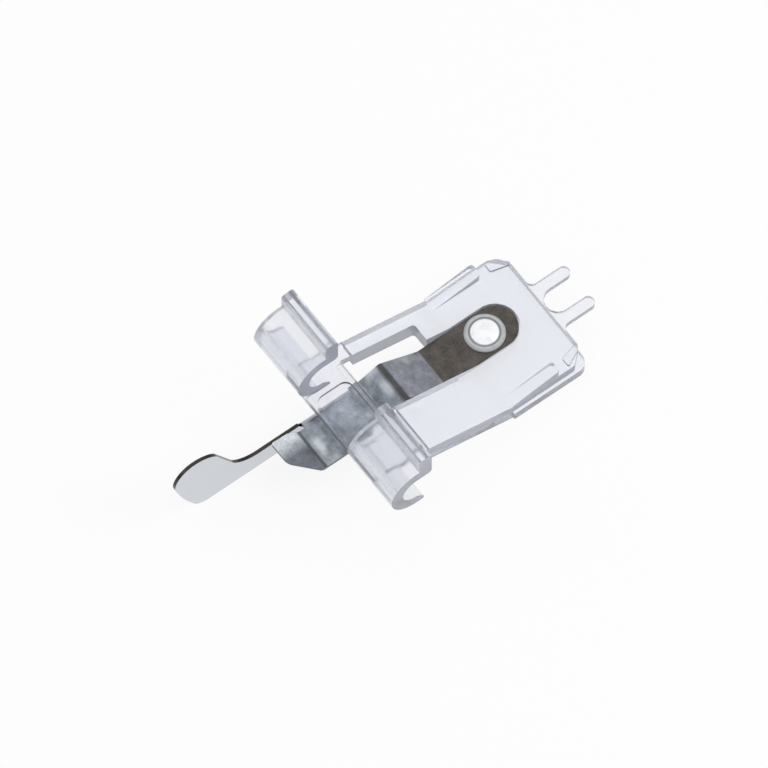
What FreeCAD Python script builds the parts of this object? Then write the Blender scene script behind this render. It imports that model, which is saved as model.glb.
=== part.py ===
import FreeCAD, Part
import math
import os

# Stitch in the ditch foot of a sewing machine, in millimetres.
# A clear moulded sole with two spring clips carries a folded sheet steel guide,
# which is held by a stake that was moulded with the sole and melted over.
# X runs across the foot, Y from the blade to the fork at the rear, Z up.
# Everything is modelled from the sole's underside and the stake, then moved so that
# the origin lies on the axis of the crosswise pin that the clips grip.

# The sole in plan
plate_half_width = 9.55
plate_rear = 8.4
plate_corner_round = 1.6
crease_y = -3.3

# The sole's heights and the rise of its front
flange_height = 1.4
deck_height = 2.9
front_rise_deg = 17.0
arm_half_width = 9.25

# The deck, a step in from the flange
deck_inset = 0.4
deck_chamfer = 2.05
deck_corner_round = 0.7

# The fork at the rear
prong_width = 1.64
prong_pitch = 5.2
prong_tip = 13.8
prong_thickness = 0.9
prong_root_round = 0.9
fork_offset = 0.4

# The raised pads on the wings and the ribs at the rear corners
pad_front = -3.3
pad_rear = 4.2
pad_height = 1.3
pad_inner = 7.5
pad_left_edge = 9.45
pad_corner_round = 0.7
pad_crown_round = 0.3
rib_width = 0.7
rib_length = 2.7
rib_height = 0.45
rib_rear_margin = 0.15
rib_side_margin = 0.2
rib_lean = 0.9
rib_end_shift = 0.45
rib_round = 0.2

# The pin that the clips take and the clips round it
pin_y = -22.2
pin_height = 11.1
pin_bore_radius = 2.1
clip_wall = 1.75
clip_length = 9.3
clip_gap = 10.4
upper_lip_reach = 2.35
upper_lip_round = 0.55
clip_rib_front = 0.42
clip_rib_top = 6.6
clip_rib_round = 0.6
lower_lip_reach = 1.15
lower_lip_round = 0.35
lower_lip_rake = 0.8

# The bar between and under the clips
bar_rear = -18.2
bar_front = -24.8
bar_top = 7.4
bar_thickness = 1.2
bar_rim_width = 0.75
bar_rim_height = 0.45
bar_rim_round = 0.3
bar_edge_round = 0.4
bar_join_round = 0.8
bar_pocket_depth = 0.5
bar_pocket_margin = 0.7
bar_pocket_round = 1.2
arm_step_y = -16.3
arm_step_thickness = 1.3
arm_step_round = 0.3
arm_thin_round = 0.25

# The folded sheet steel guide
guide_offset = -1.2
sheet = 0.5
strip_width = 6.0
strip_rear_centre = 1.6
strip_top = 2.7
rise_start = -8.3
crest_y = -14.3
crest_height = 6.4
shelf_start = -17.4
shelf_height = 5.2
lip_crease = -27.7
lip_front = -31.4
lip_lift = 0.35
bend_round = 0.6
lip_slit = 0.08
lip_corner_round = 0.3
lip_flat_right = 0.9
lip_front_round = 1.8
lip_side_start = -28.3
lip_side_round = 0.8
shelf_right = 4.2
shelf_widen_rear = -18.9
shelf_widen_front = -20.4

# The blade, folded down from the guide's left edge
fold_radius = 0.9
fold_rear = -19.0
relief_rear = -26.6
relief_front = -28.9
relief_depth = 0.3
relief_length = 1.1
relief_rear_round = 0.25
relief_front_round = 0.6
relief_lip_round = 0.15
blade_bottom = 1.45
blade_neck_start = -27.0
blade_neck_y = -32.8
blade_neck_height = 4.9
blade_throat_y = -37.2
blade_throat_height = 6.85
blade_throat_bow = 0.6
blade_shoulder_y = -39.85
blade_shoulder_height = 11.8
blade_crest_y = -43.4
blade_crest_height = 13.4
blade_crest_bow = 0.45
blade_tip_y = -46.25
blade_tip_height = 9.9
blade_tip_bow = 0.95
blade_chin_y = -43.5
blade_chin_height = 3.1
blade_front_bow = 0.25
blade_toe_y = -40.9
blade_chin_bow = 0.5
blade_heel_y = -25.0
blade_heel_bow = 0.74

# How the guide lies in the sole
recess_clearance = 0.15
window_rear = -6.7
window_left = -7.0
window_corner_round = 0.4
window_under_bar = 0.6
recess_front_gap = 0.5

# The stake that holds the guide
stake_radius = 1.75
stake_clearance = 0.05
stake_head_radius = 2.65
stake_head_height = 0.95
stake_head_chamfer = 0.25
stake_dome_radius = 1.85
stake_rim_height = 0.5
stake_foot = 0.5

# How far a raised feature is rooted in what it stands on, and how far a cutter runs past the part
root_depth = 0.2
cutter_overrun = 1.0

# Values worked out from those above
front_slope = math.tan(math.radians(front_rise_deg))
clip_inner = clip_gap / 2
clip_outer = clip_inner + clip_length
clip_radius = pin_bore_radius + clip_wall
deck_half_width = plate_half_width - deck_inset
strip_half = strip_width / 2
strip_left = guide_offset - strip_half
strip_right = guide_offset + strip_half
recess_floor = strip_top - sheet
bar_bottom = bar_top - bar_thickness
prong_bottom = deck_height - prong_thickness
quarter_bow = 1 - math.sqrt(0.5)
origin = FreeCAD.Vector(0, pin_y, pin_height)


def plan(x, y):
    """A point of a plan outline, at height zero."""
    return FreeCAD.Vector(x, y, 0)


def side(y, z):
    """A point of a side outline, on the centre plane."""
    return FreeCAD.Vector(0, y, z)


def rounded_face(corners, place):
    """A face from corners of (u, v, radius), where a radius of zero leaves the corner sharp."""
    points = [place(u, v) for u, v, radius in corners]
    count = len(points)
    starts = []
    ends = []
    middles = []
    for index in range(count):
        radius = corners[index][2]
        corner = points[index]
        back = (points[index - 1] - corner).normalize()
        ahead = (points[(index + 1) % count] - corner).normalize()
        if radius == 0:
            starts.append(corner)
            ends.append(corner)
            middles.append(None)
            continue
        half_angle = back.getAngle(ahead) / 2
        reach = radius / math.tan(half_angle)
        bisector = (back + ahead).normalize()
        starts.append(corner + back * reach)
        ends.append(corner + ahead * reach)
        middles.append(corner + bisector * (radius / math.sin(half_angle) - radius))
    edges = []
    for index in range(count):
        if middles[index] is not None:
            edges.append(Part.Arc(starts[index], middles[index], ends[index]).toShape())
        following = starts[(index + 1) % count]
        if (following - ends[index]).Length > 1e-6:
            edges.append(Part.LineSegment(ends[index], following).toShape())
    return Part.Face(Part.Wire(edges))


def traced_face(start, steps):
    """A face from a start point, then points for straight runs and (middle, end) pairs for arcs."""
    edges = []
    here = start
    for step in steps:
        if isinstance(step, tuple):
            middle, end = step
            edges.append(Part.Arc(here, middle, end).toShape())
        else:
            end = step
            edges.append(Part.LineSegment(here, end).toShape())
        here = end
    if (here - start).Length > 1e-6:
        edges.append(Part.LineSegment(here, start).toShape())
    return Part.Face(Part.Wire(edges))


def bowed(start, end, bow, normal):
    """The (middle, end) of an arc that bows out by the given amount, to the left seen against the normal."""
    run = end - start
    left = normal.cross(run).normalize()
    return (start + run * 0.5 + left * bow, end)


def raised(face, bottom, top):
    """A plan face made into a prism between two heights."""
    lower = face.copy()
    lower.translate(FreeCAD.Vector(0, 0, bottom))
    return lower.extrude(FreeCAD.Vector(0, 0, top - bottom))


def spread(face, left, right):
    """A side face made into a prism from left to right."""
    first = face.copy()
    first.translate(FreeCAD.Vector(left, 0, 0))
    return first.extrude(FreeCAD.Vector(right - left, 0, 0))


def mirrored(shape):
    """The same shape on the other side of the centre plane."""
    return shape.mirror(FreeCAD.Vector(0, 0, 0), FreeCAD.Vector(1, 0, 0))


def front_top(y):
    """Height of the sole's upper side in front of the crease."""
    return deck_height + (crease_y - y) * front_slope


def flange():
    """The thin lower plate that stands out round the deck."""
    corners = [
        (-plate_half_width, crease_y, 0),
        (plate_half_width, crease_y, 0),
        (plate_half_width, plate_rear, plate_corner_round),
        (-plate_half_width, plate_rear, plate_corner_round),
    ]
    return raised(rounded_face(corners, plan), 0, flange_height)


def deck_plan():
    """The deck's outline, chamfered at its rear corners."""
    chamfer_y = plate_rear - deck_chamfer
    chamfer_x = deck_half_width - deck_chamfer
    corners = [
        (-deck_half_width, crease_y, 0),
        (deck_half_width, crease_y, 0),
        (deck_half_width, chamfer_y, deck_corner_round),
        (chamfer_x, plate_rear, deck_corner_round),
        (-chamfer_x, plate_rear, deck_corner_round),
        (-deck_half_width, chamfer_y, deck_corner_round),
    ]
    return rounded_face(corners, plan)


def deck():
    """The upper plate, a step in from the flange."""
    return raised(deck_plan(), flange_height, deck_height)


def front_ramp():
    """The rising front of the sole with the level bar under the clips."""
    step_top = front_top(arm_step_y)
    step_bottom = step_top - deck_height
    thin_bottom = step_top - arm_step_thickness
    corners = [
        (crease_y, 0, 0),
        (crease_y, deck_height, 0),
        (bar_rear, bar_top, 0),
        (bar_front, bar_top, bar_edge_round),
        (bar_front, bar_bottom, bar_edge_round),
        (bar_rear - bar_thickness, bar_bottom, bar_join_round),
        (arm_step_y, thin_bottom, arm_thin_round),
        (arm_step_y, step_bottom, arm_step_round),
    ]
    return spread(rounded_face(corners, side), -arm_half_width, arm_half_width)


def bar_rim():
    """The raised front edge of the bar between the clips."""
    corners = [
        (bar_front, bar_bottom + bar_thickness / 2, 0),
        (bar_front, bar_top + bar_rim_height, bar_rim_round),
        (bar_front + bar_rim_width, bar_top + bar_rim_height, bar_rim_round),
        (bar_front + bar_rim_width, bar_bottom + bar_thickness / 2, 0),
    ]
    return spread(rounded_face(corners, side), -clip_inner, clip_inner)


def bar_pocket():
    """The shallow rounded pocket in the bar's upper side, between the clips."""
    reach = clip_inner - bar_pocket_margin
    front = bar_front + bar_rim_width
    rear = bar_rear - bar_pocket_margin
    corners = [
        (-reach, front, bar_pocket_round),
        (reach, front, bar_pocket_round),
        (reach, rear, bar_pocket_round),
        (-reach, rear, bar_pocket_round),
    ]
    floor = bar_top - bar_pocket_depth
    return raised(rounded_face(corners, plan), floor, bar_top + bar_rim_height)


def prong():
    """One rounded finger of the fork, with the fillets at its root."""
    left = (prong_pitch - prong_width) / 2
    right = left + prong_width
    root = plate_rear - cutter_overrun
    corners = [
        (left, root, 0),
        (right + prong_root_round, root, 0),
        (right + prong_root_round, plate_rear, 0),
        (right, plate_rear, prong_root_round),
        (right, prong_tip, prong_width / 2),
        (left, prong_tip, prong_width / 2),
    ]
    return raised(rounded_face(corners, plan), prong_bottom, deck_height)


def fork_throat():
    """The round bottom of the gap between the two prongs."""
    half_gap = (prong_pitch - prong_width) / 2
    start = plan(-half_gap, plate_rear + half_gap)
    bottom = plan(0, plate_rear)
    end = plan(half_gap, plate_rear + half_gap)
    root = plate_rear - cutter_overrun
    face = traced_face(start, [(bottom, end), plan(half_gap, root), plan(-half_gap, root)])
    return raised(face, prong_bottom, deck_height)


def fork():
    """The two prongs and the throat between them, a little to the right of the middle."""
    shape = fork_throat().fuse([prong(), mirrored(prong())])
    shape.translate(plan(fork_offset, 0))
    return shape


def wing_pad(edge):
    """A wedge on the right wing that grows towards the rear, out to the given edge."""
    wedge = [
        (pad_front, deck_height - root_depth, 0),
        (pad_rear, deck_height - root_depth, 0),
        (pad_rear, deck_height + pad_height, pad_crown_round),
        (pad_front, deck_height, 0),
    ]
    footprint = [
        (pad_inner, pad_front - cutter_overrun, 0),
        (edge, pad_front - cutter_overrun, 0),
        (edge, pad_rear, pad_corner_round),
        (pad_inner, pad_rear, pad_corner_round),
    ]
    side_form = spread(rounded_face(wedge, side), pad_inner - cutter_overrun, edge + cutter_overrun)
    return side_form.common(raised(rounded_face(footprint, plan), 0, deck_height + pad_height))


def corner_rib():
    """The low rounded rib along the deck's edge at the rear right corner."""
    rear = plate_rear - rib_rear_margin
    front = rear - rib_length
    rear_right = deck_half_width - deck_chamfer + rib_end_shift
    corners = [
        (deck_half_width - rib_width - rib_lean, front, rib_round),
        (deck_half_width - rib_side_margin, front, rib_round),
        (rear_right, rear, rib_round),
        (rear_right - rib_width, rear, rib_round),
    ]
    rib = raised(rounded_face(corners, plan), deck_height - root_depth, deck_height + rib_height)
    return rib.common(raised(deck_plan(), 0, deck_height + rib_height))


def clip():
    """The right clip, a C-shaped section with a rib along its upper lip, open to the rear."""
    right = FreeCAD.Vector(1, 0, 0)
    r = pin_bore_radius
    outer = clip_radius
    rib_foot = math.sqrt(outer ** 2 - clip_rib_front ** 2)

    def at(y, z):
        return side(pin_y + y, pin_height + z)

    def quarter(start, end, radius):
        return bowed(start, end, radius * quarter_bow, right)

    nose_start = at(upper_lip_reach - upper_lip_round, r)
    nose_end = at(upper_lip_reach, r + upper_lip_round)
    crown_rear = at(upper_lip_reach, clip_rib_top - clip_rib_round)
    crown_top = at(upper_lip_reach - clip_rib_round, clip_rib_top)
    crown_turn = at(clip_rib_front + clip_rib_round, clip_rib_top)
    crown_front = at(clip_rib_front, clip_rib_top - clip_rib_round)
    tip_start = at(lower_lip_reach - lower_lip_round, -outer)
    tip_end = at(lower_lip_reach, -outer + lower_lip_round)
    steps = [
        nose_start,
        quarter(nose_start, nose_end, -upper_lip_round),
        crown_rear,
        quarter(crown_rear, crown_top, -clip_rib_round),
        crown_turn,
        quarter(crown_turn, crown_front, -clip_rib_round),
        at(clip_rib_front, rib_foot),
        (at(-outer, 0), at(0, -outer)),
        tip_start,
        quarter(tip_start, tip_end, -lower_lip_round),
        at(lower_lip_reach - lower_lip_round / 2, -r - lower_lip_rake),
        at(0, -r),
        (at(-r, 0), at(0, r)),
    ]
    return spread(traced_face(at(0, r), steps), clip_inner, clip_outer)


def window():
    """The open front between the arms, under and beside the guide."""
    right = strip_right + recess_clearance
    front = bar_rear - window_under_bar
    corners = [
        (window_left, window_rear, window_corner_round),
        (window_left, front, 0),
        (right, front, 0),
        (right, window_rear, 0),
    ]
    opening = raised(rounded_face(corners, plan), -cutter_overrun, bar_top + cutter_overrun)
    bar_zone = Part.makeBox(2 * plate_half_width, bar_rear - bar_front, bar_top)
    bar_zone.translate(FreeCAD.Vector(-plate_half_width, bar_front, bar_bottom))
    return opening.cut(bar_zone)


def recess():
    """The level slot with a half-round end that the guide's strip lies in."""
    half = strip_half + recess_clearance
    rear_end = plan(guide_offset, strip_rear_centre + half)
    start = plan(guide_offset + half, strip_rear_centre)
    left = plan(guide_offset - half, strip_rear_centre)
    steps = [
        (rear_end, left),
        plan(guide_offset - half, bar_rear),
        plan(guide_offset + half, bar_rear),
    ]
    slot = raised(traced_face(start, steps), recess_floor, bar_top + cutter_overrun)
    front = arm_step_y - recess_front_gap
    bar_zone = Part.makeBox(2 * plate_half_width, front - bar_front, bar_top + 2 * cutter_overrun)
    bar_zone.translate(FreeCAD.Vector(-plate_half_width, bar_front, 0))
    return slot.cut(bar_zone)


def stake():
    """The moulded pin through the guide with its melted, domed head."""
    foot = recess_floor - stake_foot
    rim = strip_top + stake_rim_height
    crown = strip_top + stake_head_height
    dome_rise = crown - rim
    dome_sphere = (stake_dome_radius ** 2 + dome_rise ** 2) / (2 * dome_rise)
    half_angle = math.asin(stake_dome_radius / dome_sphere) / 2
    dome_middle = (dome_sphere * math.sin(half_angle), crown - dome_sphere * (1 - math.cos(half_angle)))
    edge = stake_head_radius
    chamfer = stake_head_chamfer

    def at(radius, height):
        return FreeCAD.Vector(radius, 0, height)

    steps = [
        at(stake_radius, foot),
        at(stake_radius, strip_top),
        at(edge, strip_top),
        at(edge, rim - chamfer),
        at(edge - chamfer, rim),
        at(stake_dome_radius, rim),
        (at(*dome_middle), at(0, crown)),
    ]
    turned = traced_face(at(0, foot), steps).revolve(at(0, 0), FreeCAD.Vector(0, 0, 1), 360)
    turned.translate(FreeCAD.Vector(guide_offset, 0, 0))
    return turned


def sole():
    """The whole clear moulding."""
    body = flange().fuse([deck(), front_ramp(), fork()])
    body = body.fuse([wing_pad(deck_half_width), mirrored(wing_pad(pad_left_edge))])
    body = body.fuse([corner_rib(), mirrored(corner_rib())])
    body = body.cut([window(), recess()])
    body = body.fuse([bar_rim()])
    body = body.cut(bar_pocket())
    body = body.fuse([clip(), mirrored(clip()), stake()])
    return body.removeSplitter()


def strip_side():
    """The strip's bent section, seen from the side."""
    slope_top = [
        (strip_rear_centre + strip_width, strip_top, 0),
        (rise_start, strip_top, bend_round),
        (crest_y, crest_height, bend_round),
        (shelf_start, shelf_height, bend_round),
        (lip_crease, shelf_height, bend_round),
        (lip_front - cutter_overrun, shelf_height + lip_lift, 0),
    ]
    underside = [(y, z - sheet, radius) for y, z, radius in reversed(slope_top)]
    return rounded_face(slope_top + underside, side)


def strip_plan():
    """The strip's outline seen from above, from its round rear end to the lip in front."""
    wide = guide_offset + shelf_right
    rear = strip_rear_centre + strip_half
    fold_line = strip_left + fold_radius
    lip_left = strip_left + sheet + lip_slit
    corners = [
        (strip_right, rear, strip_half),
        (strip_left, rear, strip_half),
        (strip_left, fold_rear, 0),
        (fold_line, fold_rear, 0),
        (fold_line, relief_rear, 0),
        (fold_line + relief_depth, relief_rear, relief_rear_round),
        (fold_line + relief_depth, relief_rear - relief_length, relief_front_round),
        (lip_left, relief_front, relief_lip_round),
        (lip_left, lip_front, lip_corner_round),
        (guide_offset + lip_flat_right, lip_front, lip_front_round),
        (wide, lip_side_start, lip_side_round),
        (wide, shelf_widen_front, bend_round),
        (strip_right, shelf_widen_rear, bend_round),
    ]
    return rounded_face(corners, plan)


def strip():
    """The bent strip with its hole for the stake."""
    right = guide_offset + shelf_right
    bent = spread(strip_side(), strip_left - cutter_overrun, right + cutter_overrun)
    flat = raised(strip_plan(), -cutter_overrun, crest_height + cutter_overrun)
    hole = Part.makeCylinder(stake_radius + stake_clearance, crest_height, plan(guide_offset, 0))
    return bent.common(flat).cut(hole)


def fold():
    """The quarter-round bend between the strip's shelf and the blade."""
    inner = fold_radius - sheet
    axis = FreeCAD.Vector(strip_left + fold_radius, fold_rear, shelf_height - fold_radius)
    length = fold_rear - relief_rear
    forward = FreeCAD.Vector(0, -1, 0)
    core = Part.makeCylinder(inner, length, axis, forward)
    ring = Part.makeCylinder(fold_radius, length, axis, forward).cut(core)
    quarter = Part.makeBox(fold_radius, length, fold_radius)
    quarter.translate(FreeCAD.Vector(strip_left, relief_rear, shelf_height - fold_radius))
    return ring.common(quarter)


def blade():
    """The upright sheet that rides in the seam, with its hooked front."""
    right = FreeCAD.Vector(1, 0, 0)
    fold_bottom = shelf_height - fold_radius
    neck = side(blade_neck_y, blade_neck_height)
    throat = side(blade_throat_y, blade_throat_height)
    shoulder = side(blade_shoulder_y, blade_shoulder_height)
    crest = side(blade_crest_y, blade_crest_height)
    tip = side(blade_tip_y, blade_tip_height)
    chin = side(blade_chin_y, blade_chin_height)
    toe = side(blade_toe_y, blade_bottom)
    heel = side(blade_heel_y, blade_bottom)
    rear = side(fold_rear, fold_bottom)
    steps = [
        side(relief_rear, fold_bottom),
        side(blade_neck_start, blade_neck_height),
        neck,
        bowed(neck, throat, blade_throat_bow, right),
        shoulder,
        bowed(shoulder, crest, -blade_crest_bow, right),
        bowed(crest, tip, -blade_tip_bow, right),
        bowed(tip, chin, -blade_front_bow, right),
        bowed(chin, toe, -blade_chin_bow, right),
        heel,
        bowed(heel, rear, -blade_heel_bow, right),
    ]
    return spread(traced_face(rear, steps), strip_left, strip_left + sheet)


def guide():
    """The folded sheet steel guide: strip, fold and blade in one piece."""
    return strip().fuse([fold(), blade()]).removeSplitter()


def save(name, shape):
    """Moves a shape to the pin's axis and writes it."""
    placed = shape.copy()
    placed.translate(origin * -1)
    solid = placed.Solids[0] if len(placed.Solids) == 1 else placed
    print(name, "solids", len(placed.Solids), "valid", placed.isValid(), "volume", round(placed.Volume, 2))
    solid.exportStep(os.path.join("parts", name + ".step"))


os.makedirs("parts", exist_ok=True)
save("clear_sole", sole())
save("guide_blade_strip", guide())
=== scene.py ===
"""Dresses the clear stitch in the ditch foot and its folded steel guide, on a plain white floor."""
import math

import bpy
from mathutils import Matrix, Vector


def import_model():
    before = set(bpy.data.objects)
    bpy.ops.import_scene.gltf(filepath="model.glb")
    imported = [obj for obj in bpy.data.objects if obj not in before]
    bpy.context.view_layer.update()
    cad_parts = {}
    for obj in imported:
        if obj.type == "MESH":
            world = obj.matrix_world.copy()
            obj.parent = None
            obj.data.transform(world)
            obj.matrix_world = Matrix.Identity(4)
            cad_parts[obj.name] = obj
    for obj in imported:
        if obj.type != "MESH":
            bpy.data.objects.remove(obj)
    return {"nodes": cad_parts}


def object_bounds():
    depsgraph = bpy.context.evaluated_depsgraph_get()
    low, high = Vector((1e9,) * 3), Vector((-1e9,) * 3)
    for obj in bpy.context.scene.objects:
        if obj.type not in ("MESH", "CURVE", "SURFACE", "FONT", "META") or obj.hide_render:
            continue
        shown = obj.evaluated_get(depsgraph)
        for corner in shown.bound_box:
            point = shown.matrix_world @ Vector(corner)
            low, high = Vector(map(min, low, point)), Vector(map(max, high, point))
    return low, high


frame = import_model()
cad_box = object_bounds()
nodes = frame["nodes"]

# The photograph's frame: its scale, its view and where the stake shows in it
IMAGE_SIDE = 768
PIXELS_PER_METRE = 8000.0
VIEW_AZIMUTH = math.radians(53.5)
VIEW_ELEVATION = math.radians(63.5)
STAKE_PIXEL = (484.7, 333.6)
CAMERA_DISTANCE = 0.5

# Where the stake comes up through the guide, in metres from the middle of the clips' pin
STAKE_PLACE = Vector((-0.0012, 0.0222, -0.0084))

# Places of the guide where its finish and its painted reflection, shade and highlights change, in the same
# metres
RISE_START_Y = 0.0139
CREST_Y = 0.0079
LIP_CREASE_Y = -0.0055
LIP_FRONT_Y = -0.0092
LIP_MARGIN = 0.0003
LIP_SHADE_X = -0.0016
BLADE_TOP_Z = -0.0064
BLADE_REAR_Y = 0.0032
BLADE_RIGHT_X = -0.00367
FOLD_LINE_X = -0.0035
FOLD_FRONT_Y = -0.0044

# The sole's underside, the crease where its front starts to rise, its outer right wall, and the heights of
# its clear lower band and of the painted shade line at its foot
SOLE_BOTTOM_Z = -0.0111
CREASE_Y = 0.0189
FRONT_SLOPE = math.tan(math.radians(17.0))
OUTER_WALL_X = 0.0085
RIM_HEIGHT = 0.0014
FOOT_SHADE_HEIGHT = 0.00020

# Heights of the bar, where the clips begin, and the stake's head with the radii of its painted shade ring
BAR_BOTTOM_Z = -0.0052
BAR_RIM_Z = -0.0031
CLIP_INNER_X = 0.0052
CLIP_BOTTOM_Z = -0.0036
HEAD_FOOT_Z = -0.00841
HEAD_RADIUS = 0.0027
HEAD_RING_INNER = 0.00180
HEAD_RING_OUTER = 0.00212

# How wide the change from one zone of a finish to the next is, in metres
HAIR_EDGE = 0.00002
FINE_EDGE = 0.00004
CRISP_EDGE = 0.0001
RING_EDGE = 0.00012
WALL_EDGE = 0.0002
BEND_EDGE = 0.0003
SOFT_EDGE = 0.0004
WIDE_EDGE = 0.0006
LIP_SHADE_EDGE = 0.0022

# Where a face counts as upright, as a clip's end or as a sheared edge, and how gradually it does
UPRIGHT_LEVEL = 0.42
UPRIGHT_FADE = 0.7
CLIP_END_SIDEWAYS = 0.7
CLIP_END_FADE = 0.3
STRIP_EDGE_LEVEL = 0.5
BLADE_EDGE_SIDEWAYS = 0.6
SHEARED_EDGE_FADE = 0.2
MASK_MIDDLE = 0.5
MASK_FADE = 0.1

# Painted highlights on the guide's strip: the middle's x and y, the half sizes, and how strong each is
PAINTED_HIGHLIGHTS = (
    (0.0001, -0.0044, 0.0013, 0.00045, 1.5),
    (-0.0013, 0.0068, 0.0012, 0.00045, 1.1),
    (-0.0037, 0.0122, 0.0008, 0.0010, 1.2),
)

# Bends of the guide where painted shade lines lie: the place along it, the half width, and how dark each is
CREASE_SHADE_LINES = (
    (CREST_Y, 0.00045, 0.88),
    (LIP_CREASE_Y, 0.00020, 0.75),
)

# Noise patterns: how many to a metre, how fine and how harsh their detail is
FLOW_WAVES = {"scale": 160.0, "detail": 1.5}
SCUFF_MARKS = {"scale": 1400.0, "detail": 4.0, "roughness": 0.7}
HEAD_GRAIN = {"scale": 900.0, "detail": 1.0}
STEEL_PATCHES = {"scale": 620.0, "detail": 5.0, "roughness": 0.68}
STEEL_CLOUDS = {"scale": 260.0, "detail": 2.0}
STEEL_SPECKS = {"scale": 3800.0, "detail": 3.0, "roughness": 0.7}
DRAWN_LINES = {"scale": 900.0, "detail": 2.0, "stretch": (1.0, 0.06, 1.0)}
PLAIN_ROUGHNESS = 0.55

# How soft, milky and deep the clear plastic is
CLEAR_IOR = 1.52
CLEAR_SOFTNESS = 0.05
CLIP_SOFTNESS = 0.09
MILKY_SOFTNESS = 0.30
HAZE_SHARE = 0.12
WALL_SHARE = 0.60
CLIP_WALL_FACTOR = 0.30
RIM_CLEARNESS = 0.85
HEAD_SHARE = 0.72
CLEAR_DENSITY = 60.0

# The clear plastic's scuffs and flow waves, and the grain of the stake's head
SCUFF_START = 0.66
SCUFF_FADE = 0.16
SCUFF_SOFTNESS = 0.16
SCUFF_HEIGHT = 0.12
FLOW_BUMP_DEPTH = 0.00012
FLOW_BUMP_STRENGTH = 0.30
HEAD_GRAIN_START = 0.56
HEAD_GRAIN_FADE = 0.08
HEAD_GRAIN_SHARE = 0.16

# The steel's mottling, clouds, drawn lines, softness and relief
SPECK_SHARE = 0.5
MOTTLE_FLOOR = 0.10
MOTTLE_GAIN = 1.55
CLOUD_START = 0.56
CLOUD_FADE = 0.22
CLOUD_SHARE = 0.55
DRAWN_SHARE = 0.06
BLADE_SOFTNESS = 0.24
PATCH_SOFTNESS = 0.30
STEEL_BUMP_DEPTH = 0.00006
STEEL_BUMP_STRENGTH = 0.4

# Colours in linear light
WHITE = (1.0, 1.0, 1.0, 1.0)
CLEAR_TINT = (0.875, 0.885, 0.915, 1.0)
CLEAR_DEPTH_TINT = (0.62, 0.65, 0.76, 1.0)
SHADOW_TINT = (0.88, 0.89, 0.92, 1.0)
HAZE_WHITE = (0.80, 0.81, 0.84, 1.0)
# Frosted walls, greyed further with painted shade where the plastic's edges look dark
WALL_FROST_AND_SHADE_GREY = (0.39, 0.40, 0.45, 1.0)
# Painted shade on the bar's front between the clips and along the outer wall's foot
BAR_FRONT_SHADE_GREY = (0.17, 0.175, 0.20, 1.0)
# Painted light on the stake's clear head: a white highlight in its middle, a shade grey for its ring and its
# grain, and a lit grey for its rim
HEAD_HIGHLIGHT_WHITE = (0.95, 0.96, 0.97, 1.0)
HEAD_SHADE_AND_GRAIN_GREY = (0.25, 0.27, 0.29, 1.0)
HEAD_RIM_LIT_GREY = (0.60, 0.62, 0.63, 1.0)
# Painted dark reflection on the strip's level rear round the stake
REAR_DARK_REFLECTION = (0.105, 0.094, 0.086, 1.0)
# Painted shade: the slope's and the shelf's greys are set by how each bent face tilts to the light; the
# shelf's grey also tints the blade's drawn lines
SLOPE_SHADE_GREY = (0.40, 0.41, 0.47, 1.0)
SHELF_SHADE_AND_LINE_GREY = (0.245, 0.27, 0.30, 1.0)
# Painted highlight
HIGHLIGHT_PALE = (0.66, 0.71, 0.74, 1.0)
# Painted light on the lip: a lit grey on its left and a shaded grey on its right; the lit grey also clouds
# the shelf at random
LIT_LIP_AND_CLOUD_GREY = (0.66, 0.71, 0.75, 1.0)
LIP_SHADE_DARK = (0.17, 0.18, 0.205, 1.0)
# Painted highlight along the rounded fold between the strip and the blade
FOLD_HIGHLIGHT = (0.58, 0.61, 0.64, 1.0)
STRIP_EDGE = (0.15, 0.16, 0.185, 1.0)
BLADE_SILVER = (0.62, 0.64, 0.68, 1.0)
# Painted shade in the creases, and the dark of the blade's sheared edges
CREASE_SHADE_AND_EDGE_DARK = (0.06, 0.058, 0.055, 1.0)
FLOOR_GREY = (0.80, 0.80, 0.80, 1.0)

# The floor lies a little under the sole, so that light leaves the sole before it meets the floor
FLOOR_GAP = 0.00003
FLOOR_HALF = 0.6
FLOOR_WHITE_SHARE = 0.86

# The sky: the heights of a direction between which it brightens, and its strength below and above them
SKY_LOW_Z = -0.1
SKY_HIGH_Z = 0.65
SKY_LOW_LIGHT = 0.18
SKY_HIGH_LIGHT = 0.95

# Lamps: name, place, side in metres and power in watts
LAMPS = (
    ("key", (0.25, 0.30, 0.35), 0.25, 0.9),
    ("fill", (-0.35, -0.30, 0.25), 0.30, 0.4),
)

# The sockets of a mix node that are in use when it mixes colours
MIX_FACTOR = 0
MIX_FIRST = 6
MIX_SECOND = 7
MIX_RESULT = 2


def new_material(name):
    """An empty node material: the material, its node tree and its output node."""
    material = bpy.data.materials.new(name)
    material.use_nodes = True
    tree = material.node_tree
    tree.nodes.clear()
    output = tree.nodes.new("ShaderNodeOutputMaterial")
    return material, tree, output


def feed(tree, socket, value):
    """Links a socket to an input, or sets the input to a number or a colour."""
    if isinstance(value, bpy.types.NodeSocket):
        tree.links.new(value, socket)
    else:
        socket.default_value = value


def math_node(tree, operation, first, second=None, clamp=False):
    """A Math node whose inputs are sockets or numbers; returns its output."""
    node = tree.nodes.new("ShaderNodeMath")
    node.operation = operation
    node.use_clamp = clamp
    feed(tree, node.inputs[0], first)
    if second is not None:
        feed(tree, node.inputs[1], second)
    return node.outputs[0]


def plus(tree, first, second):
    """The sum of two values."""
    return math_node(tree, "ADD", first, second)


def minus(tree, first, second):
    """The first value less the second."""
    return math_node(tree, "SUBTRACT", first, second)


def times(tree, first, second):
    """The product of two values, which is also where two zones overlap."""
    return math_node(tree, "MULTIPLY", first, second)


def larger(tree, first, second):
    """The larger of two values, which also joins two zones."""
    return math_node(tree, "MAXIMUM", first, second)


def opposite(tree, share):
    """What is left of 1 after a share."""
    return minus(tree, 1.0, share)


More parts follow.
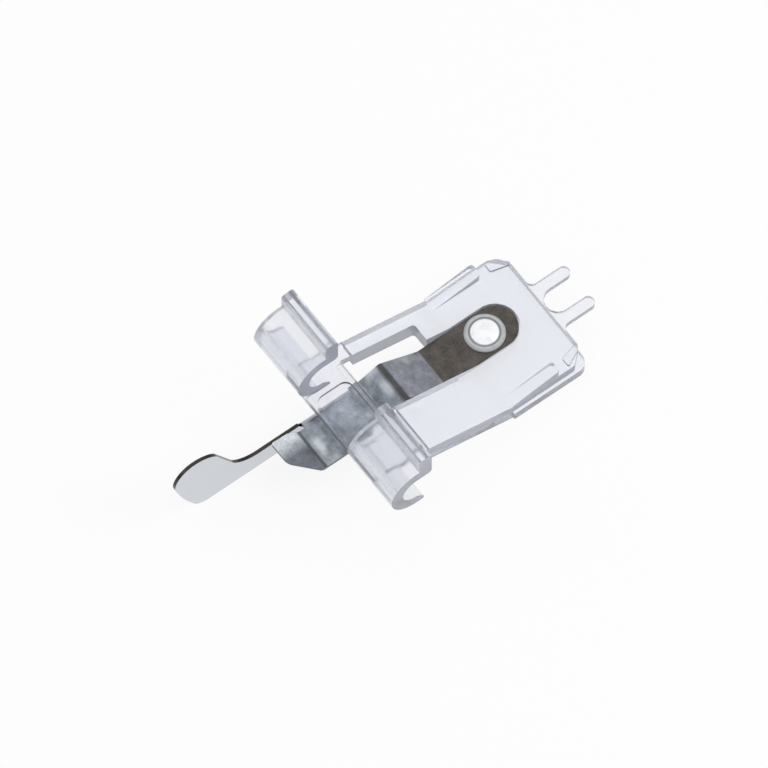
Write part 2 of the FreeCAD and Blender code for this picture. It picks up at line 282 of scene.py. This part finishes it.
def away_from(tree, value, middle):
    """How far a value lies from a middle, on either side of it."""
    return math_node(tree, "ABSOLUTE", minus(tree, value, middle))


def above(tree, value, edge, softness):
    """Rises from 0 to 1 as the value passes the edge, over the given softness."""
    node = tree.nodes.new("ShaderNodeMapRange")
    tree.links.new(value, node.inputs["Value"])
    node.inputs["From Min"].default_value = edge - softness / 2
    node.inputs["From Max"].default_value = edge + softness / 2
    return node.outputs["Result"]


def below(tree, value, edge, softness):
    """Falls from 1 to 0 as the value passes the edge."""
    return opposite(tree, above(tree, value, edge, softness))


def mix_colour(tree, factor, first, second, blend="MIX"):
    """A colour mix of two sockets or colours; returns its output."""
    node = tree.nodes.new("ShaderNodeMix")
    node.data_type = "RGBA"
    node.blend_type = blend
    feed(tree, node.inputs[MIX_FACTOR], factor)
    feed(tree, node.inputs[MIX_FIRST], first)
    feed(tree, node.inputs[MIX_SECOND], second)
    return node.outputs[MIX_RESULT]


def mix_shader(tree, factor, first, second):
    """A mix of two shaders; returns its output."""
    node = tree.nodes.new("ShaderNodeMixShader")
    tree.links.new(factor, node.inputs[0])
    tree.links.new(first, node.inputs[1])
    tree.links.new(second, node.inputs[2])
    return node.outputs[0]


def ray_is(tree, *kinds):
    """1 for a ray of one of the named kinds, and 0 for any other."""
    rays = tree.nodes.new("ShaderNodeLightPath")
    share = rays.outputs[kinds[0]]
    for kind in kinds[1:]:
        share = larger(tree, share, rays.outputs[kind])
    return share


def noise(tree, place, scale, detail, roughness=PLAIN_ROUGHNESS, stretch=None):
    """A noise pattern in metres of the model; returns its grey output."""
    node = tree.nodes.new("ShaderNodeTexNoise")
    node.inputs["Scale"].default_value = scale
    node.inputs["Detail"].default_value = detail
    node.inputs["Roughness"].default_value = roughness
    if stretch is not None:
        mapping = tree.nodes.new("ShaderNodeMapping")
        mapping.inputs["Scale"].default_value = stretch
        tree.links.new(place, mapping.inputs["Vector"])
        place = mapping.outputs["Vector"]
    tree.links.new(place, node.inputs["Vector"])
    return node.outputs["Fac"]


def bump(tree, height, distance, strength):
    """A bump from a height pattern, whose strength is a socket or a number; returns its normal."""
    node = tree.nodes.new("ShaderNodeBump")
    node.inputs["Distance"].default_value = distance
    feed(tree, node.inputs["Strength"], strength)
    tree.links.new(height, node.inputs["Height"])
    return node.outputs["Normal"]


def place_sockets(tree):
    """The model's own coordinates: the vector and its x, y and z."""
    coordinates = tree.nodes.new("ShaderNodeTexCoord")
    split = tree.nodes.new("ShaderNodeSeparateXYZ")
    tree.links.new(coordinates.outputs["Object"], split.inputs["Vector"])
    return coordinates.outputs["Object"], split.outputs["X"], split.outputs["Y"], split.outputs["Z"]


def normal_parts(tree):
    """How far a face looks sideways, and how far up or down: the normal's x and z without their signs."""
    geometry = tree.nodes.new("ShaderNodeNewGeometry")
    facing = tree.nodes.new("ShaderNodeSeparateXYZ")
    tree.links.new(geometry.outputs["True Normal"], facing.inputs["Vector"])
    sideways = math_node(tree, "ABSOLUTE", facing.outputs["X"])
    level = math_node(tree, "ABSOLUTE", facing.outputs["Z"])
    return sideways, level


def wall_share(tree, in_clips):
    """How milky and painted shade grey a face is: upright walls are, but in the clips only the end faces are
    so in full.
    """
    sideways, level = normal_parts(tree)
    upright = below(tree, level, UPRIGHT_LEVEL, UPRIGHT_FADE)
    ends = above(tree, sideways, CLIP_END_SIDEWAYS, CLIP_END_FADE)
    in_clip_share = larger(tree, ends, times(tree, upright, CLIP_WALL_FACTOR))
    elsewhere = times(tree, upright, opposite(tree, in_clips))
    return plus(tree, elsewhere, times(tree, in_clip_share, in_clips))


def outer_rim(tree, x, y, z):
    """The lower half of the outer right wall, which is clear, and a painted shade line along its foot."""
    rise = larger(tree, minus(tree, CREASE_Y, y), 0.0)
    lift = times(tree, rise, FRONT_SLOPE)
    height = minus(tree, minus(tree, z, SOLE_BOTTOM_Z), lift)
    outside = above(tree, x, OUTER_WALL_X, WALL_EDGE)
    clear_zone = times(tree, outside, below(tree, height, RIM_HEIGHT, CRISP_EDGE))
    foot_shade_line = times(tree, outside, below(tree, height, FOOT_SHADE_HEIGHT, CRISP_EDGE))
    return clear_zone, foot_shade_line


def between_clips(tree, x, z):
    """1 on the bar where it runs free between the clips."""
    in_gap = below(tree, math_node(tree, "ABSOLUTE", x), CLIP_INNER_X, CRISP_EDGE)
    over_bottom = above(tree, z, BAR_BOTTOM_Z, SOFT_EDGE)
    under_rim = below(tree, z, BAR_RIM_Z, CRISP_EDGE)
    return times(tree, in_gap, times(tree, over_bottom, under_rim))


def stake_distance(tree, x, y):
    """Distance in plan from the stake's axis."""
    aside = math_node(tree, "POWER", minus(tree, x, STAKE_PLACE.x), 2.0)
    along = math_node(tree, "POWER", minus(tree, y, STAKE_PLACE.y), 2.0)
    return math_node(tree, "SQRT", plus(tree, aside, along))


def stake_head(tree, distance, z):
    """1 on the stake's head, which stands on the guide."""
    near_stake = below(tree, distance, HEAD_RADIUS, FINE_EDGE)
    return times(tree, near_stake, above(tree, z, HEAD_FOOT_Z, FINE_EDGE))


def head_colour(tree, place, distance):
    """Painted light on the melted head: a grained middle painted as a white highlight, then a ring of
    painted shade, then a paler rim painted lit.
    """
    colour = mix_colour(tree, above(tree, distance, HEAD_RING_INNER, RING_EDGE), HEAD_HIGHLIGHT_WHITE, HEAD_SHADE_AND_GRAIN_GREY)
    colour = mix_colour(tree, above(tree, distance, HEAD_RING_OUTER, CRISP_EDGE), colour, HEAD_RIM_LIT_GREY)
    grain = above(tree, noise(tree, place, **HEAD_GRAIN), HEAD_GRAIN_START, HEAD_GRAIN_FADE)
    return mix_colour(tree, times(tree, grain, HEAD_GRAIN_SHARE), colour, HEAD_SHADE_AND_GRAIN_GREY)


def frosted_colour(tree, place, upright, dark_shade_zone, distance, on_head):
    """The milky part's colour: near white on level faces, frosted and painted shade grey on walls, darker
    painted shade on the bar's front, and painted highlight and shade rings on the stake's head.
    """
    walls = mix_colour(tree, dark_shade_zone, WALL_FROST_AND_SHADE_GREY, BAR_FRONT_SHADE_GREY)
    colour = mix_colour(tree, upright, HAZE_WHITE, walls)
    return mix_colour(tree, on_head, colour, head_colour(tree, place, distance))


def milky_share(tree, z, upright, on_head):
    """How much of a face is milky: walls, a little haze below the bar, and most of the stake's head."""
    haze = times(tree, below(tree, z, BAR_BOTTOM_Z, WIDE_EDGE), HAZE_SHARE)
    share = plus(tree, times(tree, upright, WALL_SHARE), haze)
    return larger(tree, share, times(tree, on_head, HEAD_SHARE))


def milky_body(tree, colour):
    """The milky part of the finish, which light doesn't pass."""
    shader = tree.nodes.new("ShaderNodeBsdfPrincipled")
    shader.inputs["Roughness"].default_value = MILKY_SOFTNESS
    tree.links.new(colour, shader.inputs["Base Color"])
    return shader.outputs["BSDF"]


def clear_body(tree, place, in_clips):
    """The see-through part of the finish: a tint, faint flow waves, fine scuffs and rougher clips."""
    shader = tree.nodes.new("ShaderNodeBsdfPrincipled")
    shader.inputs["Base Color"].default_value = CLEAR_TINT
    shader.inputs["Transmission Weight"].default_value = 1.0
    shader.inputs["IOR"].default_value = CLEAR_IOR
    waves = noise(tree, place, **FLOW_WAVES)
    marks = noise(tree, place, **SCUFF_MARKS)
    clip_softness = times(tree, in_clips, CLIP_SOFTNESS)
    scuffed = times(tree, above(tree, marks, SCUFF_START, SCUFF_FADE), SCUFF_SOFTNESS)
    softness = plus(tree, plus(tree, clip_softness, scuffed), CLEAR_SOFTNESS)
    height = plus(tree, waves, times(tree, marks, SCUFF_HEIGHT))
    tree.links.new(softness, shader.inputs["Roughness"])
    tree.links.new(bump(tree, height, FLOW_BUMP_DEPTH, FLOW_BUMP_STRENGTH), shader.inputs["Normal"])
    return shader.outputs["BSDF"]


def with_pale_shadow(tree, body):
    """The same finish, with a tinted pale shadow in place of a solid one."""
    lit_through = tree.nodes.new("ShaderNodeBsdfTransparent")
    lit_through.inputs["Color"].default_value = SHADOW_TINT
    return mix_shader(tree, ray_is(tree, "Is Shadow Ray"), body, lit_through.outputs["BSDF"])


def depth_tint(tree):
    """The bluish tint that the plastic takes on with depth."""
    depth = tree.nodes.new("ShaderNodeVolumeAbsorption")
    depth.inputs["Color"].default_value = CLEAR_DEPTH_TINT
    depth.inputs["Density"].default_value = CLEAR_DENSITY
    return depth.outputs["Volume"]


def clear_plastic():
    """Clear moulded plastic: a little milky, with frosted upright walls greyed by painted shade, and a
    melted stake head with a painted highlight and painted shade rings.
    """
    material, tree, output = new_material("clear_plastic")
    place, x, y, z = place_sockets(tree)
    in_clips = above(tree, z, CLIP_BOTTOM_Z, WIDE_EDGE)
    walls = wall_share(tree, in_clips)
    clear_zone, foot_shade_line = outer_rim(tree, x, y, z)
    # Painted shade line where the outer wall meets the floor
    foot_shade_line = times(tree, foot_shade_line, walls)
    shown = opposite(tree, times(tree, clear_zone, RIM_CLEARNESS))
    upright = larger(tree, times(tree, walls, shown), foot_shade_line)
    # Painted shade zone: the bar's front between the clips and the outer wall's foot
    dark_shade_zone = larger(tree, between_clips(tree, x, z), foot_shade_line)
    distance = stake_distance(tree, x, y)
    on_head = stake_head(tree, distance, z)
    milky = milky_body(tree, frosted_colour(tree, place, upright, dark_shade_zone, distance, on_head))
    share = milky_share(tree, z, upright, on_head)
    body = mix_shader(tree, share, clear_body(tree, place, in_clips), milky)
    tree.links.new(with_pale_shadow(tree, body), output.inputs["Surface"])
    tree.links.new(depth_tint(tree), output.inputs["Volume"])
    return material


def strip_zones(tree, place, x, y):
    """The strip's colours: a painted dark reflection on the rear, painted shade greys on the slope and the
    clouded shelf, and a lip painted lit on its left and shaded on its right.
    """
    cloud = above(tree, noise(tree, place, **STEEL_CLOUDS), CLOUD_START, CLOUD_FADE)
    clouded = mix_colour(tree, cloud, SHELF_SHADE_AND_LINE_GREY, LIT_LIP_AND_CLOUD_GREY)
    shelf = mix_colour(tree, CLOUD_SHARE, SHELF_SHADE_AND_LINE_GREY, clouded)
    lip = mix_colour(tree, below(tree, x, LIP_SHADE_X, LIP_SHADE_EDGE), LIP_SHADE_DARK, LIT_LIP_AND_CLOUD_GREY)
    zones = mix_colour(tree, below(tree, y, LIP_CREASE_Y, BEND_EDGE), shelf, lip)
    zones = mix_colour(tree, above(tree, y, CREST_Y, BEND_EDGE), zones, SLOPE_SHADE_GREY)
    return mix_colour(tree, above(tree, y, RISE_START_Y, SOFT_EDGE), zones, REAR_DARK_REFLECTION)


def mottled(tree, place, patches, colour):
    """The colour, made lighter and darker in patches and fine specks."""
    specks = noise(tree, place, **STEEL_SPECKS)
    grain = plus(tree, patches, times(tree, specks, SPECK_SHARE))
    mottle = times(tree, minus(tree, grain, MOTTLE_FLOOR), MOTTLE_GAIN)
    grey = tree.nodes.new("ShaderNodeCombineColor")
    for channel in grey.inputs:
        tree.links.new(mottle, channel)
    return mix_colour(tree, 1.0, colour, grey.outputs["Color"], "MULTIPLY")


def painted_highlights(tree, x, y, grain, colour):
    """Painted highlights on the shelf's front, just ahead of the crest and at the rise's left edge."""
    for middle_x, middle_y, half_x, half_y, strength in PAINTED_HIGHLIGHTS:
        across = below(tree, away_from(tree, x, middle_x), half_x, half_x)
        along = below(tree, away_from(tree, y, middle_y), half_y, half_y)
        spot = times(tree, across, along)
        uneven = math_node(tree, "MULTIPLY", times(tree, spot, grain), strength, clamp=True)
        colour = mix_colour(tree, uneven, colour, HIGHLIGHT_PALE)
    return colour


def crease_shade_lines(tree, y, colour):
    """Painted shade lines where the sheet is bent at the crest and before the lip."""
    for place_y, half, darkness in CREASE_SHADE_LINES:
        line = below(tree, away_from(tree, y, place_y), half, half)
        colour = mix_colour(tree, times(tree, line, darkness), colour, CREASE_SHADE_AND_EDGE_DARK)
    return colour


def drawn_silver(tree, place):
    """The blade's smoother silver, with faint lines drawn along it."""
    lines = noise(tree, place, **DRAWN_LINES)
    return mix_colour(tree, times(tree, lines, DRAWN_SHARE), BLADE_SILVER, SHELF_SHADE_AND_LINE_GREY)


def blade_zone(tree, x, y, z):
    """1 on the blade: ahead of the lip, below the fold, and beside the lip."""
    ahead = below(tree, y, LIP_FRONT_Y - LIP_MARGIN, CRISP_EDGE)
    below_fold = below(tree, z, BLADE_TOP_Z, CRISP_EDGE)
    under = times(tree, below_fold, below(tree, y, BLADE_REAR_Y, CRISP_EDGE))
    left_of_lip = below(tree, x, BLADE_RIGHT_X, HAIR_EDGE)
    beside = times(tree, left_of_lip, below(tree, y, FOLD_FRONT_Y, CRISP_EDGE))
    return larger(tree, larger(tree, ahead, under), beside)


def fold_zone(tree, x, y):
    """1 along the fold between the strip and the blade."""
    left = below(tree, x, FOLD_LINE_X, CRISP_EDGE)
    before_rear = times(tree, left, below(tree, y, BLADE_REAR_Y, CRISP_EDGE))
    return times(tree, before_rear, above(tree, y, FOLD_FRONT_Y, CRISP_EDGE))


def fold_and_edges(tree, blade, fold, colour):
    """The colour with a painted highlight along the fold, a grey edge round the strip and a dark edge round
    the blade.
    """
    sideways, level = normal_parts(tree)
    off_blade = below(tree, blade, MASK_MIDDLE, MASK_FADE)
    colour = mix_colour(tree, times(tree, fold, off_blade), colour, FOLD_HIGHLIGHT)
    plain_strip = opposite(tree, larger(tree, blade, fold))
    strip_edge = times(tree, below(tree, level, STRIP_EDGE_LEVEL, SHEARED_EDGE_FADE), plain_strip)
    colour = mix_colour(tree, strip_edge, colour, STRIP_EDGE)
    blade_edge = times(tree, below(tree, sideways, BLADE_EDGE_SIDEWAYS, SHEARED_EDGE_FADE), blade)
    return mix_colour(tree, blade_edge, colour, CREASE_SHADE_AND_EDGE_DARK)


def steel_body(tree, blade, patches, colour):
    """The steel itself: rougher and uneven on the strip, smooth on the blade."""
    on_strip = opposite(tree, blade)
    uneven = times(tree, on_strip, times(tree, patches, PATCH_SOFTNESS))
    relief = bump(tree, patches, STEEL_BUMP_DEPTH, times(tree, on_strip, STEEL_BUMP_STRENGTH))
    shader = tree.nodes.new("ShaderNodeBsdfPrincipled")
    shader.inputs["Metallic"].default_value = 1.0
    tree.links.new(colour, shader.inputs["Base Color"])
    tree.links.new(plus(tree, uneven, BLADE_SOFTNESS), shader.inputs["Roughness"])
    tree.links.new(relief, shader.inputs["Normal"])
    return shader.outputs["BSDF"]


def guide_steel():
    """Mill-finished sheet, mottled on the strip and drawn smooth on the blade, with dark sheared edges, and
    painted reflection, shade and highlights on the strip's bent faces.
    """
    material, tree, output = new_material("guide_steel")
    place, x, y, z = place_sockets(tree)
    patches = noise(tree, place, **STEEL_PATCHES)
    strip = mottled(tree, place, patches, strip_zones(tree, place, x, y))
    strip = painted_highlights(tree, x, y, patches, strip)
    strip = crease_shade_lines(tree, y, strip)
    blade = blade_zone(tree, x, y, z)
    colour = mix_colour(tree, blade, strip, drawn_silver(tree, place))
    colour = fold_and_edges(tree, blade, fold_zone(tree, x, y), colour)
    tree.links.new(steel_body(tree, blade, patches, colour), output.inputs["Surface"])
    return material


def dress_nodes():
    """Gives the two solids their finish."""
    finishes = {"clear_sole": clear_plastic(), "guide_blade_strip": guide_steel()}
    for name, material in finishes.items():
        slots = nodes[name].material_slots
        if len(slots) == 0:
            nodes[name].data.materials.append(material)
        for slot in slots:
            slot.material = material


def white_floor():
    """White floor that meets the camera near white and keeps a soft shadow."""
    material, tree, output = new_material("white_floor")
    matt = tree.nodes.new("ShaderNodeBsdfDiffuse")
    matt.inputs["Color"].default_value = FLOOR_GREY
    bright = tree.nodes.new("ShaderNodeEmission")
    bright.inputs["Color"].default_value = WHITE
    bright.inputs["Strength"].default_value = 1.0
    seen = ray_is(tree, "Is Camera Ray", "Is Glossy Ray", "Is Transmission Ray")
    share = times(tree, seen, FLOOR_WHITE_SHARE)
    finish = mix_shader(tree, share, matt.outputs["BSDF"], bright.outputs["Emission"])
    tree.links.new(finish, output.inputs["Surface"])
    return material


def floor():
    """The plane that the foot rests on."""
    lowest = cad_box[0][2] - FLOOR_GAP
    outline = ((-1, -1), (1, -1), (1, 1), (-1, 1))
    corners = [(FLOOR_HALF * side, FLOOR_HALF * end, lowest) for side, end in outline]
    mesh = bpy.data.meshes.new("floor")
    mesh.from_pydata(corners, [], [range(len(corners))])
    plane = bpy.data.objects.new("floor", mesh)
    bpy.context.scene.collection.objects.link(plane)
    plane.data.materials.append(white_floor())


def sky_light(tree, strength):
    """White light of the given strength, which is a socket or a number."""
    light = tree.nodes.new("ShaderNodeBackground")
    light.inputs["Color"].default_value = WHITE
    feed(tree, light.inputs["Strength"], strength)
    return light.outputs["Background"]


def world():
    """A studio sky that brightens upwards, and is plain white where the camera looks past the floor."""
    sky = bpy.data.worlds.new("studio")
    bpy.context.scene.world = sky
    sky.use_nodes = True
    tree = sky.node_tree
    tree.nodes.clear()
    output = tree.nodes.new("ShaderNodeOutputWorld")
    coordinates = tree.nodes.new("ShaderNodeTexCoord")
    split = tree.nodes.new("ShaderNodeSeparateXYZ")
    tree.links.new(coordinates.outputs["Generated"], split.inputs["Vector"])
    ramp = tree.nodes.new("ShaderNodeMapRange")
    tree.links.new(split.outputs["Z"], ramp.inputs["Value"])
    ramp.inputs["From Min"].default_value = SKY_LOW_Z
    ramp.inputs["From Max"].default_value = SKY_HIGH_Z
    ramp.inputs["To Min"].default_value = SKY_LOW_LIGHT
    ramp.inputs["To Max"].default_value = SKY_HIGH_LIGHT
    shaded = sky_light(tree, ramp.outputs["Result"])
    light = mix_shader(tree, ray_is(tree, "Is Camera Ray"), shaded, sky_light(tree, 1.0))
    tree.links.new(light, output.inputs["Surface"])


def area_light(name, place, size, power):
    """A soft square lamp that looks at the middle of the clips' pin."""
    data = bpy.data.lights.new(name, "AREA")
    data.size = size
    data.energy = power
    lamp = bpy.data.objects.new(name, data)
    lamp.location = place
    lamp.rotation_euler = (-Vector(place)).to_track_quat("-Z", "Y").to_euler()
    bpy.context.scene.collection.objects.link(lamp)


def camera():
    """An orthographic camera at the photograph's angle, placed by the stake's pixel."""
    right = Vector((math.cos(VIEW_AZIMUTH), math.sin(VIEW_AZIMUTH), 0.0))
    back = Vector((
        math.sin(VIEW_AZIMUTH) * math.cos(VIEW_ELEVATION),
        -math.cos(VIEW_AZIMUTH) * math.cos(VIEW_ELEVATION),
        math.sin(VIEW_ELEVATION),
    ))
    up = back.cross(right)
    aside = (STAKE_PIXEL[0] - IMAGE_SIDE / 2) / PIXELS_PER_METRE
    height = (IMAGE_SIDE / 2 - STAKE_PIXEL[1]) / PIXELS_PER_METRE
    middle = STAKE_PLACE - right * aside - up * height
    data = bpy.data.cameras.new("camera")
    data.type = "ORTHO"
    data.ortho_scale = IMAGE_SIDE / PIXELS_PER_METRE
    view = bpy.data.objects.new("camera", data)
    view.location = middle + back * CAMERA_DISTANCE
    view.rotation_euler = (-back).to_track_quat("-Z", "Y").to_euler()
    bpy.context.scene.collection.objects.link(view)
    bpy.context.scene.camera = view


bpy.context.scene.view_settings.view_transform = "Standard"
camera()
dress_nodes()
floor()
world()
for lamp_name, lamp_place, lamp_side, lamp_power in LAMPS:
    area_light(lamp_name, lamp_place, lamp_side, lamp_power)
